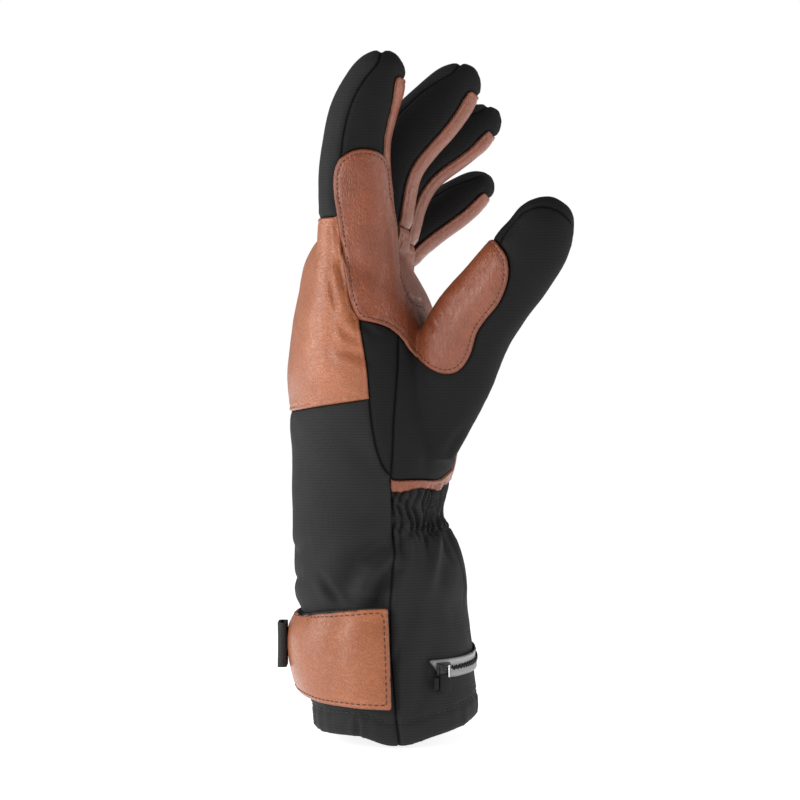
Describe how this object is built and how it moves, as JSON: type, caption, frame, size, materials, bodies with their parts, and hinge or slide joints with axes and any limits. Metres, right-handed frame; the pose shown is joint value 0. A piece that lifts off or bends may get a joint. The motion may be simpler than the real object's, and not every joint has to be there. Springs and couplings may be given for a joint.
{
  "type": "heated glove",
  "caption": "Left-hand heated winter glove with padded fingers, leather knuckle, palm and saddle panels, gathered gauntlet cuff, wrist strap with pull loop, and a zipped pocket.",
  "frame": {"origin": "middle of the cuff's open end, level with the lowest point of its hem, where the hand goes in", "axes": "+Z towards the fingertips, +X out of the palm, -X out of the back of the hand, -Y towards the thumb, +Y towards the little finger"},
  "size_m": [0.1219, 0.1277, 0.2899],
  "materials": {
    "softshell": "matt ribbed soft shell",
    "side_fabric": "matt stretch weave",
    "tan_leather": "semi-gloss full grain, orange tan",
    "brown_leather": "semi-gloss full grain, red brown",
    "felt": "grey felt backing",
    "webbing": "dark grey woven tape",
    "zip_tape": "grey coated zip tape and coil",
    "zip_metal": "black enamel"
  },
  "bodies": {
    "root": {"saddle_patch": "brown_leather", "index_side": "side_fabric", "fork_index_middle": "side_fabric", "fork_middle_ring": "side_fabric", "fork_ring_little": "side_fabric", "index_palm": "brown_leather", "index_back": "softshell", "middle_palm": "brown_leather", "middle_back": "softshell", "ring_palm": "brown_leather", "ring_back": "softshell", "little_palm": "brown_leather", "little_back": "softshell", "thumb_front": "side_fabric", "thumb_back": "side_fabric", "side_wedge": "side_fabric", "knuckle_panel": "tan_leather", "palm_leather": "brown_leather", "back_panel": "softshell", "cuff_palm": "softshell", "strap_backing": "felt", "wrist_strap": "tan_leather", "pull_loop": "webbing", "zip_tape": "zip_tape", "zip_coil": "zip_tape", "zip_slider": "zip_metal", "zip_puller": "webbing"}
  },
  "joints": []
}
